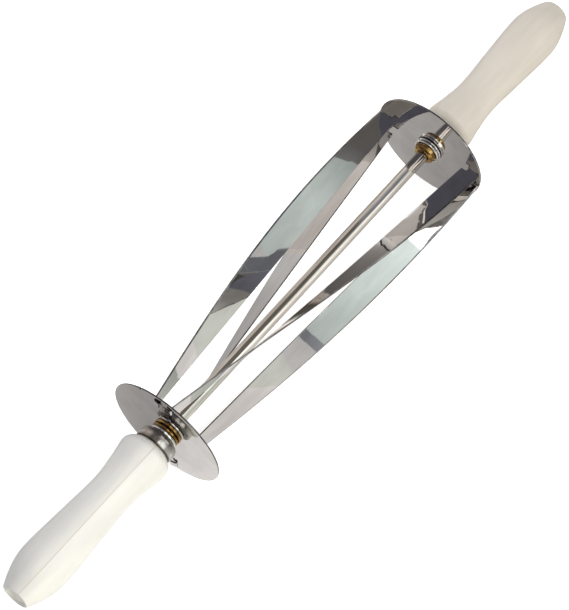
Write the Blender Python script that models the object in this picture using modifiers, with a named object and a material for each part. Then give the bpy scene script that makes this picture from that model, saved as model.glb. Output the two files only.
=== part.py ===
# Croissant cutter roller: four twisted blades between two discs, on a rod with a handle at each end.
# The rod lies along X and Z is up. The corner of blade_1 and blade_2 is on top at the left disc.
import math

import bmesh
import bpy
from mathutils import Matrix, Vector

MM = 0.001

# Driving dimensions
DISC_RADIUS = 40 * MM
DISC_THICKNESS = 1.2 * MM
DISC_CHAMFER = 0.25 * MM
DISC_SPACING = 257 * MM
GAP = 0.3 * MM
ROD_RADIUS = 4 * MM
ROD_CHAMFER = 0.7 * MM
ROD_BORE = ROD_RADIUS + GAP
WASHER_CHAMFER = 0.25 * MM

# Blades: two meet at each corner, with their ends side by side. The back is straight and the edge bulges.
BLADE_THICKNESS = 1.0 * MM
CORNER_HALF_GAP = 6.1 * MM
BLADE_BACK_HEIGHT = 27 * MM
BLADE_BULGE = 1.75 * MM
BLADE_EDGE_GRIND = 2.2 * MM
BLADE_EDGE_SHARE = 0.3
BLADE_STEPS = 24
NOTCH_WIDTH = 3.6 * MM
NOTCH_DEPTH = 2.2 * MM

# The blades are bent by hand. Each has its hand, the corner that it starts from in degrees about the rod,
# how far its middle is set outwards, and how many degrees it leans there.
BLADES = (
    ("blade_1", 1, 0, 0, 0),
    ("blade_2", -1, 0, 0.9 * MM, 4),
    ("blade_3", 1, 180, -1.4 * MM, 0),
    ("blade_4", -1, 180, 0, 0),
)

# Tabs that pass through the discs and fold down on their outer faces
TAB_MIDDLE_HEIGHT = 34.4 * MM
TAB_WIDTH = 4.6 * MM
TAB_FOLD_RADIUS = 1.0 * MM
TAB_FOLD_LENGTH = 2.8 * MM
TAB_FOLD_STEPS = 3

# Bush and what clamps it in the disc
BUSH_RADIUS = 7.3 * MM
BUSH_FLANGE_RADIUS = 9.5 * MM
BUSH_FLANGE_THICKNESS = 1.3 * MM
BUSH_FLANGE_CHAMFER = 0.3 * MM
BUSH_REACH = 6.9 * MM
BUSH_CHAMFER = 1.2 * MM
LOCK_WASHER_RADIUS = 9.4 * MM
LOCK_WASHER_THICKNESS = 1.0 * MM
RING_NUT_RADIUS = 9.0 * MM
RING_NUT_THICKNESS = 1.6 * MM
RING_NUT_CHAMFER = 0.4 * MM
RING_NUT_SLOT_WIDTH = 3 * MM
RING_NUT_SLOT_DEPTH = 0.7 * MM

# Washer and ferrule between the bush and the handle
THRUST_WASHER_RADIUS = 9.6 * MM
THRUST_WASHER_THICKNESS = 2.3 * MM
THRUST_WASHER_CHAMFER = 0.6 * MM
FERRULE_RADIUS = 12.7 * MM
FERRULE_NECK_RADIUS = 9.7 * MM
FERRULE_LENGTH = 8.8 * MM
FERRULE_SHOULDER = 3 * MM
FERRULE_SHOULDER_STEPS = 4
FERRULE_WALL = 1.0 * MM
STOP_NUT_WIDTH = 13 * MM
STOP_NUT_THICKNESS = 3.5 * MM

# Handle: its outline is drawn through these places, given as distance from the disc's middle and radius.
HANDLE_FRONT = 14.3 * MM
HANDLE_END = 134.6 * MM
HANDLE_OUTLINE = (
    (14.3 * MM, 12.5 * MM),
    (17.0 * MM, 15.4 * MM),
    (21.5 * MM, 16.9 * MM),
    (33.0 * MM, 15.0 * MM),
    (50.0 * MM, 13.4 * MM),
    (76.0 * MM, 14.8 * MM),
    (104.0 * MM, 16.4 * MM),
    (116.0 * MM, 15.8 * MM),
    (127.0 * MM, 12.6 * MM),
    (134.6 * MM, 9.2 * MM),
)
HANDLE_CURVE_STEPS = 2
SPIGOT_LENGTH = 3.7 * MM
SPIGOT_CLEARANCE = 0.4 * MM
RECESS_RADIUS = 8.0 * MM
RECESS_DEPTH = 20 * MM
END_WASHER_THICKNESS = 1.5 * MM
END_NUT_WIDTH = 13 * MM
END_NUT_THICKNESS = 6.5 * MM
ROD_PAST_NUT = 2 * MM
PLUG_THICKNESS = 6 * MM
PLUG_CHAMFER = 0.5 * MM
PLUG_SINK = 0.4 * MM

# Sides of the turned pieces
DISC_SIDES = 64
HANDLE_SIDES = 32
FITTING_SIDES = 28
ROD_SIDES = 24

SHARP_ANGLE = math.radians(35)


def clear_scene():
    for obj in list(bpy.data.objects):
        bpy.data.objects.remove(obj, do_unlink=True)


def new_collection(name):
    collection = bpy.data.collections.new(name)
    bpy.context.scene.collection.children.link(collection)
    return collection


def new_material(name, colour, roughness, metallic):
    material = bpy.data.materials.new(name)
    material.use_nodes = True
    shader = material.node_tree.nodes["Principled BSDF"]
    shader.inputs["Base Color"].default_value = (*colour, 1)
    shader.inputs["Roughness"].default_value = roughness
    shader.inputs["Metallic"].default_value = metallic
    return material


def place(name, mesh, collection, parent, turn=None):
    """Adds an object that shows this mesh, hung on its parent and turned by a matrix."""
    obj = bpy.data.objects.new(name, mesh)
    collection.objects.link(obj)
    obj.parent = parent
    if turn is not None:
        obj.matrix_local = turn
    return obj


def applied(obj):
    """The object's mesh with its modifiers applied, smooth but for its sharp edges. The object is removed."""
    bpy.context.view_layer.update()
    graph = bpy.context.evaluated_depsgraph_get()
    mesh = bpy.data.meshes.new_from_object(obj.evaluated_get(graph))
    mesh.name = obj.name
    mesh.shade_smooth()
    mesh.set_sharp_from_angle(angle=SHARP_ANGLE)
    bpy.data.objects.remove(obj, do_unlink=True)
    return mesh


def turned(name, outline, sides, closed=True):
    """A solid turned about Z. Its outline, (radius, height), runs down the outside and up the inside."""
    mesh = bpy.data.meshes.new(name)
    edges = [(i, i + 1) for i in range(len(outline) - 1)]
    if closed:
        edges.append((len(outline) - 1, 0))
    mesh.from_pydata([(radius, 0, height) for radius, height in outline], edges, [])
    obj = bpy.data.objects.new(name, mesh)
    bpy.context.scene.collection.objects.link(obj)
    screw = obj.modifiers.new("Turn", "SCREW")
    screw.axis = "Z"
    screw.angle = math.tau
    screw.steps = sides
    screw.render_steps = sides
    screw.use_merge_vertices = not closed
    screw.merge_threshold = 0.01 * MM
    screw.use_smooth_shade = True
    return obj


def ring(name, outer, inner, top, bottom, chamfer, sides=FITTING_SIDES):
    """A turned ring with both outer corners chamfered."""
    outline = [
        (outer - chamfer, top),
        (outer, top - chamfer),
        (outer, bottom + chamfer),
        (outer - chamfer, bottom),
        (inner, bottom),
        (inner, top),
    ]
    return turned(name, outline, sides)


def cut(obj, cutter):
    boolean = obj.modifiers.new("Cut", "BOOLEAN")
    boolean.operation = "DIFFERENCE"
    boolean.solver = "EXACT"
    boolean.object = cutter


def cutter_of(name, bm, cutters):
    """Makes a hidden cutter from a bmesh."""
    mesh = bpy.data.meshes.new(name)
    bm.to_mesh(mesh)
    bm.free()
    obj = bpy.data.objects.new(name, mesh)
    cutters.objects.link(obj)
    obj.hide_render = True
    obj.display_type = "WIRE"
    return obj


def add_box(bm, size, middle, turn):
    """A box of this size, moved to its middle and then turned."""
    matrix = turn @ Matrix.Translation(middle) @ Matrix.Diagonal((*size, 1))
    bmesh.ops.create_cube(bm, size=1, matrix=matrix)


def hex_nut(name, width, thickness, bottom, cutters):
    """A hex nut on Z with the rod's bore through it."""
    bm = bmesh.new()
    corner = width / math.sqrt(3)
    middle = Matrix.Translation((0, 0, bottom + thickness / 2))
    bmesh.ops.create_cone(
        bm, cap_ends=True, segments=6, radius1=corner, radius2=corner, depth=thickness, matrix=middle
    )
    mesh = bpy.data.meshes.new(name)
    bm.to_mesh(mesh)
    bm.free()
    obj = bpy.data.objects.new(name, mesh)
    bpy.context.scene.collection.objects.link(obj)
    bore = bmesh.new()
    bmesh.ops.create_cone(
        bore,
        cap_ends=True,
        segments=ROD_SIDES,
        radius1=ROD_BORE,
        radius2=ROD_BORE,
        depth=2 * thickness,
        matrix=middle,
    )
    cut(obj, cutter_of(name + "_bore", bore, cutters))
    return obj


def smooth_outline(points, steps):
    """Points on a curve through the given ones, at each along the line between its neighbours."""
    places = [Vector(point) for point in points]
    found = []
    for i in range(len(places) - 1):
        start, end = places[i], places[i + 1]
        before = places[i - 1] if i else start
        after = places[i + 2] if i + 2 < len(places) else end
        for step in range(steps):
            t = step / steps
            found.append(
                start * (2 * t**3 - 3 * t**2 + 1)
                + (end - before) / 2 * (t**3 - 2 * t**2 + t)
                + end * (3 * t**2 - 2 * t**3)
                + (after - start) / 2 * (t**3 - t**2)
            )
    found.append(places[-1])
    return [tuple(point) for point in found]


# Heights along the rod, from the middle of the cage outwards, in the order that the pieces are stacked
disc_middle = DISC_SPACING / 2
disc_inner = disc_middle - DISC_THICKNESS / 2
disc_outer = disc_middle + DISC_THICKNESS / 2
lock_washer_top = disc_inner - GAP
ring_nut_top = lock_washer_top - LOCK_WASHER_THICKNESS - GAP
bush_end = disc_inner - BUSH_REACH
flange_bottom = disc_outer + GAP
flange_top = flange_bottom + BUSH_FLANGE_THICKNESS
thrust_washer_top = flange_top + GAP + THRUST_WASHER_THICKNESS
ferrule_bottom = thrust_washer_top + GAP
ferrule_floor = ferrule_bottom + FERRULE_WALL
stop_nut_bottom = ferrule_floor + GAP
handle_front = disc_middle + HANDLE_FRONT
handle_end = disc_middle + HANDLE_END
recess_floor = handle_end - RECESS_DEPTH
end_nut_bottom = recess_floor + GAP + END_WASHER_THICKNESS + GAP
rod_end = end_nut_bottom + END_NUT_THICKNESS + ROD_PAST_NUT


def make_axle_rod():
    outline = [
        (0, rod_end),
        (ROD_RADIUS - ROD_CHAMFER, rod_end),
        (ROD_RADIUS, rod_end - ROD_CHAMFER),
        (ROD_RADIUS, -rod_end + ROD_CHAMFER),
        (ROD_RADIUS - ROD_CHAMFER, -rod_end),
        (0, -rod_end),
    ]
    return applied(turned("axle_rod", outline, ROD_SIDES, closed=False))


def make_handle():
    """The grip: a spigot in the ferrule, the outline, and a recess in the end for the nut and the plug."""
    spigot = FERRULE_RADIUS - FERRULE_WALL - SPIGOT_CLEARANCE
    outside = smooth_outline(
        [(radius, disc_middle + distance) for distance, radius in HANDLE_OUTLINE], HANDLE_CURVE_STEPS
    )
    outline = [
        *reversed(outside),
        (spigot, handle_front),
        (spigot, handle_front - SPIGOT_LENGTH),
        (ROD_BORE, handle_front - SPIGOT_LENGTH),
        (ROD_BORE, recess_floor),
        (RECESS_RADIUS, recess_floor),
        (RECESS_RADIUS, handle_end),
    ]
    return applied(turned("handle", outline, HANDLE_SIDES))


def make_end_plug():
    radius = RECESS_RADIUS - GAP
    top = handle_end - PLUG_SINK
    outline = [
        (0, top),
        (radius - PLUG_CHAMFER, top),
        (radius, top - PLUG_CHAMFER),
        (radius, top - PLUG_THICKNESS),
        (0, top - PLUG_THICKNESS),
    ]
    return applied(turned("end_plug", outline, FITTING_SIDES, closed=False))


def make_end_washer():
    bottom = recess_floor + GAP
    top = bottom + END_WASHER_THICKNESS
    washer = ring("end_washer", RECESS_RADIUS - GAP, ROD_BORE, top, bottom, WASHER_CHAMFER, ROD_SIDES)
    return applied(washer)


def make_ferrule():
    """A pressed cup, open towards the handle, with a round shoulder down to its neck."""
    top = ferrule_bottom + FERRULE_LENGTH
    inside = FERRULE_RADIUS - FERRULE_WALL
    outline = [(inside, top), (FERRULE_RADIUS, top)]
    drop = FERRULE_RADIUS - FERRULE_NECK_RADIUS
    for step in range(FERRULE_SHOULDER_STEPS + 1):
        angle = math.pi / 2 * step / FERRULE_SHOULDER_STEPS
        radius = FERRULE_NECK_RADIUS + drop * math.cos(angle)
        outline.append((radius, ferrule_bottom + FERRULE_SHOULDER * (1 - math.sin(angle))))
    outline += [
        (ROD_BORE, ferrule_bottom),
        (ROD_BORE, ferrule_floor),
        (FERRULE_NECK_RADIUS - FERRULE_WALL, ferrule_floor),
        (inside - FERRULE_WALL / 2, ferrule_bottom + FERRULE_SHOULDER - FERRULE_WALL / 2),
        (inside, ferrule_bottom + FERRULE_SHOULDER + FERRULE_WALL / 2),
    ]
    return applied(turned("ferrule", outline, FITTING_SIDES))


def make_thrust_washer():
    bottom = thrust_washer_top - THRUST_WASHER_THICKNESS
    washer = ring(
        "thrust_washer", THRUST_WASHER_RADIUS, ROD_BORE, thrust_washer_top, bottom, THRUST_WASHER_CHAMFER
    )
    return applied(washer)


def make_bush():
    """A flange outside the disc and a shank through it, chamfered at its inner end."""
    outline = [
        (BUSH_FLANGE_RADIUS - BUSH_FLANGE_CHAMFER, flange_top),
        (BUSH_FLANGE_RADIUS, flange_top - BUSH_FLANGE_CHAMFER),
        (BUSH_FLANGE_RADIUS, flange_bottom),
        (BUSH_RADIUS, flange_bottom),
        (BUSH_RADIUS, bush_end + BUSH_CHAMFER),
        (BUSH_RADIUS - BUSH_CHAMFER, bush_end),
        (ROD_BORE, bush_end),
        (ROD_BORE, flange_top),
    ]
    return applied(turned("bush", outline, FITTING_SIDES))


def make_lock_washer():
    bottom = lock_washer_top - LOCK_WASHER_THICKNESS
    washer = ring(
        "lock_washer", LOCK_WASHER_RADIUS, BUSH_RADIUS + GAP, lock_washer_top, bottom, WASHER_CHAMFER
    )
    return applied(washer)


def make_ring_nut(cutters):
    """A round nut with four spanner slots in its rim."""
    bottom = ring_nut_top - RING_NUT_THICKNESS
    nut = ring("ring_nut", RING_NUT_RADIUS, BUSH_RADIUS + GAP, ring_nut_top, bottom, RING_NUT_CHAMFER)
    slots = bmesh.new()
    cutter_depth = 2 * MM
    size = (cutter_depth, RING_NUT_SLOT_WIDTH, 2 * RING_NUT_THICKNESS)
    slot_floor = RING_NUT_RADIUS - RING_NUT_SLOT_DEPTH
    middle = (slot_floor + cutter_depth / 2, 0, (ring_nut_top + bottom) / 2)
    for quarter in range(4):
        add_box(slots, size, middle, Matrix.Rotation(math.pi / 2 * (quarter + 0.5), 4, "Z"))
    cut(nut, cutter_of("ring_nut_slots", slots, cutters))
    return applied(nut)


def make_disc(name, end, cutters):
    """An end disc with the bush's hole and four slots for the blades' tabs. Its lowest side lies flat."""
    disc = ring(name, DISC_RADIUS, BUSH_RADIUS + GAP, disc_outer, disc_inner, DISC_CHAMFER, DISC_SIDES)
    disc.matrix_world = outward(end) @ Matrix.Rotation(math.pi / DISC_SIDES, 4, "Z")
    slots = bmesh.new()
    size = (4 * DISC_THICKNESS, BLADE_THICKNESS + 2 * GAP, TAB_WIDTH + 2 * GAP)
    first_corner = 0 if end < 0 else math.pi / 2
    for corner in (first_corner, first_corner + math.pi):
        for side in (-CORNER_HALF_GAP, CORNER_HALF_GAP):
            add_box(slots, size, (end * disc_middle, side, TAB_MIDDLE_HEIGHT), about_rod(corner))
    cut(disc, cutter_of(name + "_slots", slots, cutters))
    turn = disc.matrix_world.copy()
    mesh = applied(disc)
    mesh.transform(turn)
    return mesh


def outward(end):
    """Turns a piece made on Z so that its height runs outwards along the rod, at the end -1 or +1."""
    return Matrix.Rotation(end * math.pi / 2, 4, "Y")


def about_rod(angle):
    """Turns about the rod from the top towards +Y."""
    return Matrix.Rotation(-angle, 4, "X")


def make_blade(name, hand, set_out, lean):
    """A strip from the top corner at the left disc to a side corner at the right: the back if hand is 1."""
    reach = disc_inner - GAP
    edge_height = math.sqrt(DISC_RADIUS**2 - CORNER_HALF_GAP**2)
    first_angle = math.asin(CORNER_HALF_GAP / DISC_RADIUS)
    last_angle = math.pi / 2 - first_angle
    grind_height = edge_height - BLADE_EDGE_GRIND
    back_heights = (
        BLADE_BACK_HEIGHT,
        BLADE_BACK_HEIGHT + NOTCH_WIDTH,
        TAB_MIDDLE_HEIGHT - TAB_WIDTH / 2,
        TAB_MIDDLE_HEIGHT + TAB_WIDTH / 2,
        grind_height,
    )
    shares = [(height - BLADE_BACK_HEIGHT) / (grind_height - BLADE_BACK_HEIGHT) for height in back_heights]

    def cross_line(along):
        """Points across the strip at this place, from its back to its edge, as (Y, Z)."""
        share = (along + reach) / (2 * reach)
        swell = math.sin(math.pi * share)
        start = Vector((CORNER_HALF_GAP, BLADE_BACK_HEIGHT))
        back = start.lerp(start.yx, share)
        back += back.normalized() * set_out * swell
        angle = first_angle + (last_angle - first_angle) * share
        radius = DISC_RADIUS + (BLADE_BULGE + set_out) * swell
        edge = Vector((math.sin(angle), math.cos(angle))) * radius
        back = edge + Matrix.Rotation(math.radians(lean) * swell, 2) @ (back - edge)
        grind = edge + (back - edge).normalized() * BLADE_EDGE_GRIND
        return [back.lerp(grind, part) for part in shares] + [edge]

    steps = [(reach - NOTCH_DEPTH) * (2 * step / BLADE_STEPS - 1) for step in range(BLADE_STEPS + 1)]
    lengths = [-reach, *steps, reach]
    last = len(lengths) - 1
    columns = len(shares) + 1
    bm = bmesh.new()
    bmesh.ops.create_grid(bm, x_segments=last, y_segments=columns - 1, size=1)
    rows = {}
    for vert in bm.verts:
        row = round((vert.co.x + 1) / 2 * last)
        column = round((vert.co.y + 1) / 2 * (columns - 1))
        rows[row, column] = vert
    for (row, column), vert in rows.items():
        side, height = cross_line(lengths[row])[column]
        vert.co = (lengths[row], hand * side, height)

    fold_tab(bm, (rows[0, 2], rows[0, 3]), -1, Vector((0, -hand, 0)))
    fold_tab(bm, (rows[last, 2], rows[last, 3]), 1, Vector((0, 0, -1)))
    corners = []
    for row in (0, last - 1):
        notch = {rows[row + i, j] for i in (0, 1) for j in (0, 1)}
        corners += [face for face in bm.faces if set(face.verts) == notch]
    bmesh.ops.delete(bm, geom=corners, context="FACES")
    bmesh.ops.recalc_face_normals(bm, faces=bm.faces)
    bm.verts.index_update()
    ground = {rows[row, columns - 1].index for row in range(last + 1)}

    mesh = bpy.data.meshes.new(name)
    bm.to_mesh(mesh)
    bm.free()
    obj = bpy.data.objects.new(name, mesh)
    bpy.context.scene.collection.objects.link(obj)
    body = obj.vertex_groups.new(name="full_thickness")
    body.add([i for i in range(len(mesh.vertices)) if i not in ground], 1, "REPLACE")
    solidify = obj.modifiers.new("Sheet", "SOLIDIFY")
    solidify.thickness = BLADE_THICKNESS
    solidify.offset = 0
    solidify.use_even_offset = True
    solidify.vertex_group = body.name
    solidify.thickness_vertex_group = BLADE_EDGE_SHARE
    return applied(obj)


def fold_tab(bm, ends, end, towards):
    """Draws the edge between two points out through the disc, then folds it down on the disc's outer face."""
    level = disc_outer + GAP + BLADE_THICKNESS / 2
    path = []
    for step in range(TAB_FOLD_STEPS + 1):
        bend = math.pi / 2 * step / TAB_FOLD_STEPS
        height = level - TAB_FOLD_RADIUS * (1 - math.sin(bend))
        path.append((height, TAB_FOLD_RADIUS * (1 - math.cos(bend))))
    path.append((level, TAB_FOLD_RADIUS + TAB_FOLD_LENGTH))
    edge = bm.edges.get(ends)
    shift_so_far = 0
    for height, shift in path:
        made = bmesh.ops.extrude_edge_only(bm, edges=[edge])["geom"]
        edge = next(item for item in made if isinstance(item, bmesh.types.BMEdge))
        for vert in edge.verts:
            vert.co.x = end * height
            vert.co += towards * (shift - shift_so_far)
        shift_so_far = shift


def main():
    clear_scene()
    model = new_collection("croissant_cutter_roller")
    cutters = new_collection("cutters")

    plastic = new_material("moulded_plastic", (0.86, 0.85, 0.80), 0.45, 0.0)
    plug_plastic = new_material("plug_plastic", (0.74, 0.73, 0.69), 0.5, 0.0)
    mirror_steel = new_material("mirror_polished_steel", (0.72, 0.72, 0.70), 0.08, 1.0)
    turned_steel = new_material("turned_steel", (0.55, 0.54, 0.52), 0.3, 1.0)
    plated_steel = new_material("plated_steel", (0.70, 0.70, 0.68), 0.22, 1.0)
    brass = new_material("turned_brass", (0.66, 0.48, 0.20), 0.28, 1.0)

    handles = bpy.data.objects.new("handles", None)
    cage = bpy.data.objects.new("cage", None)
    for empty in (handles, cage):
        model.objects.link(empty)

    rod = make_axle_rod()
    rod.materials.append(plated_steel)
    place("axle_rod", rod, model, handles, outward(1))

    pairs = (
        ("handle", make_handle(), plastic, handles),
        ("end_plug", make_end_plug(), plug_plastic, handles),
        ("end_washer", make_end_washer(), plated_steel, handles),
        (
            "end_nut",
            applied(hex_nut("end_nut", END_NUT_WIDTH, END_NUT_THICKNESS, end_nut_bottom, cutters)),
            plated_steel,
            handles,
        ),
        ("ferrule", make_ferrule(), turned_steel, handles),
        (
            "stop_nut",
            applied(hex_nut("stop_nut", STOP_NUT_WIDTH, STOP_NUT_THICKNESS, stop_nut_bottom, cutters)),
            plated_steel,
            handles,
        ),
        ("thrust_washer", make_thrust_washer(), plated_steel, handles),
        ("bush", make_bush(), brass, cage),
        ("lock_washer", make_lock_washer(), plated_steel, cage),
        ("ring_nut", make_ring_nut(cutters), plated_steel, cage),
    )
    for name, mesh, material, parent in pairs:
        mesh.materials.append(material)
        for side, end in (("left", -1), ("right", 1)):
            place(f"{side}_{name}", mesh, model, parent, outward(end))

    for side, end in (("left", -1), ("right", 1)):
        disc = make_disc(side + "_disc", end, cutters)
        disc.materials.append(mirror_steel)
        place(side + "_disc", disc, model, cage)

    for name, hand, corner, set_out, lean in BLADES:
        blade = make_blade(name, hand, set_out, lean)
        blade.materials.append(mirror_steel)
        place(name, blade, model, cage, about_rod(math.radians(corner)))


main()
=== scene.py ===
import math

import bmesh
import bpy
from mathutils import Matrix, Vector


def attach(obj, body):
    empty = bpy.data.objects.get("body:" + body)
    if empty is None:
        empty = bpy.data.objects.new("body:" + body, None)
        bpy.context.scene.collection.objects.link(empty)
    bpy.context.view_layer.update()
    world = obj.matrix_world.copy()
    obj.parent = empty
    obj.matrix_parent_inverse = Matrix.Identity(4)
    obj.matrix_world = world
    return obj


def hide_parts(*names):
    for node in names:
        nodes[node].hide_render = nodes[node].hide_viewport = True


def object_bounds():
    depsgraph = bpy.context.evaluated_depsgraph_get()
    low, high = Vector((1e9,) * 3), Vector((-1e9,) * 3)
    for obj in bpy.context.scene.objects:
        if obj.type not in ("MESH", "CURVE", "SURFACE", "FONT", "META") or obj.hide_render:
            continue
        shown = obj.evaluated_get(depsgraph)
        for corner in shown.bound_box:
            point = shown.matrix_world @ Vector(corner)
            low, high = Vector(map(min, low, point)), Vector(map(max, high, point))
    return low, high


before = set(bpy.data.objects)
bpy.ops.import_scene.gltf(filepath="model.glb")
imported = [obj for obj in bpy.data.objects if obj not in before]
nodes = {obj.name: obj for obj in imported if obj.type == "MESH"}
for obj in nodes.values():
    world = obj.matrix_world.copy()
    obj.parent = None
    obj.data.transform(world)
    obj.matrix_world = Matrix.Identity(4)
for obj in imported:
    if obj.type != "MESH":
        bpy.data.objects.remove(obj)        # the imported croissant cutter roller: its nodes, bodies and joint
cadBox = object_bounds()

# Croissant cutter roller: a cage of four twisted blades turning on a rod between two moulded handles.
# The rod lies along X, left is -X, Z is up. Lengths in the settings are mm, the scene is in metres.
mm = 0.001
scene = bpy.context.scene


def linear(hexColour):
    # an sRGB hex colour as linear RGBA
    channels = [int(hexColour[i:i + 2], 16) / 255 for i in (1, 3, 5)]
    return (*[c / 12.92 if c <= 0.04045 else ((c + 0.055) / 1.055) ** 2.4 for c in channels], 1)


def addNode(tree, kind, inputs=None, **settings):
    # adds a shader node; inputs holds values, or sockets to link from
    made = tree.nodes.new("ShaderNode" + kind)
    for setting, value in settings.items():
        setattr(made, setting, value)
    for socket, value in (inputs or {}).items():
        if isinstance(value, bpy.types.NodeSocket):
            tree.links.new(value, made.inputs[socket])
        else:
            made.inputs[socket].default_value = value
    return made


def setRamp(ramp, stops):
    # gives a colour ramp its (position, hex colour) stops
    elements = ramp.color_ramp.elements
    while len(elements) < len(stops):
        elements.new(0.5)
    for element, (position, colour) in zip(elements, stops):
        element.position = position
        element.color = linear(colour)
    return ramp.outputs["Color"]


def newMaterial(name):
    # an empty material with a Principled shader; returns it, its tree and the shader
    material = bpy.data.materials.new(name)
    material.use_nodes = True
    tree = material.node_tree
    tree.nodes.clear()
    shader = addNode(tree, "BsdfPrincipled")
    addNode(tree, "OutputMaterial", {"Surface": shader.outputs["BSDF"]})
    return material, tree, shader


def objectPattern(tree, sizes, detail=2.0, roughness=0.5):
    # noise in the piece's own coordinates, with a grain of these sizes in mm along X, Y and Z
    place = addNode(tree, "TexCoord")
    scaled = addNode(
        tree, "Mapping",
        {"Vector": place.outputs["Object"], "Scale": [1 / (size * mm) for size in sizes]},
    )
    noise = addNode(
        tree, "TexNoise",
        {"Vector": scaled.outputs["Vector"], "Scale": 1.0, "Detail": detail, "Roughness": roughness},
    )
    return noise.outputs["Fac"]


def mapRange(tree, value, low, high, fromLow=0.3, fromHigh=0.7):
    # a value brought to this range; noise itself runs from about 0.3 to 0.7
    ranged = addNode(
        tree, "MapRange",
        {"Value": value, "From Min": fromLow, "From Max": fromHigh, "To Min": low, "To Max": high},
    )
    return ranged.outputs["Result"]


def addBumps(tree, shader, bumps):
    # bumps is (height, distance in mm) from the coarsest to the finest, one on another
    normal = None
    for height, distance in bumps:
        inputs = {"Height": height, "Distance": distance * mm, "Strength": 1.0}
        if normal:
            inputs["Normal"] = normal
        normal = addNode(tree, "Bump", inputs).outputs["Normal"]
    tree.links.new(normal, shader.inputs["Normal"])


# Polypropylene, injection moulded: ivory white, half gloss, faint flow marks and a fine pebbled skin
plasticSettings = {
    "left": {"light": "#F4F3EF", "dark": "#EBEAE7", "joint": "#DCCFA8", "seam": "#CFC6B4"},
    # darker and more beige than the left: painted shade, the same plastic as it looks in shade
    "right": {"light": "#DCD5CB", "dark": "#D3CCC2", "joint": "#C8BDAA", "seam": "#D8CFC3"},
}
skinSettings = {
    "flowSize": (60, 9, 9), "scuffSize": (14, 1.6, 1.6), "roughness": (0.30, 0.46), "ior": 1.49,
    "sinkSize": (45, 14, 14), "sinkDepth": 0.35, "pebbleSize": (0.8, 0.8, 0.8), "pebbleDepth": 0.012,
    "glowShare": 0.08, "glowColour": (1.0, 0.9, 0.75), "glowDepth": 1.5,  # light that sinks into the skin
    "dirtFrom": 142.8, "dirtTo": 146.5, "dirtShare": 0.25, "blotchSize": (5, 4, 4),  # from the rod's middle
    "seamFrom": 0.006, "seamTo": 0.034, "seamShare": 0.6,  # in radians to each side of the parting line
}
seamAngle = -22.0  # of the mould's parting line about the rod, from the top towards +Y


def mouldedPolypropylene(side):
    colours, skin = plasticSettings[side], skinSettings
    material, tree, shader = newMaterial(f"mouldedPolypropylene_{side}")
    flow = objectPattern(tree, skin["flowSize"], detail=3)
    tone = setRamp(
        addNode(tree, "ValToRGB", {"Fac": flow}), ((0.35, colours["dark"]), (0.62, colours["light"]))
    )
    # old flour and grease darken the joint with the ferrule
    place = addNode(tree, "TexCoord")
    parts = addNode(tree, "SeparateXYZ", {"Vector": place.outputs["Object"]})
    fromMiddle = addNode(tree, "Math", {0: parts.outputs["X"]}, operation="ABSOLUTE")
    nearFront = mapRange(
        tree, fromMiddle.outputs[0], skin["dirtShare"], 0.0, skin["dirtFrom"] * mm, skin["dirtTo"] * mm
    )
    blotch = mapRange(tree, objectPattern(tree, skin["blotchSize"]), 0.3, 1.0)
    dirt = addNode(tree, "Math", {0: nearFront, 1: blotch}, operation="MULTIPLY")
    colour = addNode(
        tree, "Mix", {0: dirt.outputs[0], 6: tone, 7: linear(colours["joint"])}, data_type="RGBA"
    )
    # the parting line holds a little dirt too
    turn = addNode(tree, "Math", {0: parts.outputs["Y"], 1: parts.outputs["Z"]}, operation="ARCTAN2")
    offSeam = addNode(tree, "Math", {0: turn.outputs[0], 1: -math.radians(seamAngle)}, operation="ADD")
    near = addNode(tree, "Math", {0: offSeam.outputs[0]}, operation="ABSOLUTE")
    seam = mapRange(tree, near.outputs[0], skin["seamShare"], 0.0, skin["seamFrom"], skin["seamTo"])
    colour = addNode(
        tree, "Mix", {0: seam, 6: colour.outputs[2], 7: linear(colours["seam"])}, data_type="RGBA"
    )
    tree.links.new(colour.outputs[2], shader.inputs["Base Color"])
    scuffs = objectPattern(tree, skin["scuffSize"], detail=4)
    tree.links.new(mapRange(tree, scuffs, *skin["roughness"]), shader.inputs["Roughness"])
    shader.inputs["IOR"].default_value = skin["ior"]
    shader.inputs["Subsurface Weight"].default_value = skin["glowShare"]
    shader.inputs["Subsurface Radius"].default_value = skin["glowColour"]
    shader.inputs["Subsurface Scale"].default_value = skin["glowDepth"] * mm
    sink = objectPattern(tree, skin["sinkSize"], detail=1)
    pebble = objectPattern(tree, skin["pebbleSize"], detail=1)
    addBumps(tree, shader, ((sink, skin["sinkDepth"]), (pebble, skin["pebbleDepth"])))
    return material


# Low-density polyethylene, moulded: as pale as the grip, waxy, with a soft sheen
plugSkin = {
    "light": "#F1EFEA", "dark": "#E6E3DC", "cloudSize": (6, 6, 6), "roughness": (0.40, 0.52), "ior": 1.51,
    "grainSize": (0.9, 0.9, 0.9), "grainDepth": 0.02,
}


def mouldedPolyethylene(settings):
    material, tree, shader = newMaterial("mouldedPolyethylene")
    cloud = objectPattern(tree, settings["cloudSize"], detail=3)
    tone = setRamp(
        addNode(tree, "ValToRGB", {"Fac": cloud}), ((0.35, settings["dark"]), (0.65, settings["light"]))
    )
    tree.links.new(tone, shader.inputs["Base Color"])
    tree.links.new(mapRange(tree, cloud, *settings["roughness"]), shader.inputs["Roughness"])
    shader.inputs["IOR"].default_value = settings["ior"]
    addBumps(tree, shader, ((objectPattern(tree, settings["grainSize"]), settings["grainDepth"]),))
    return material


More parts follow.
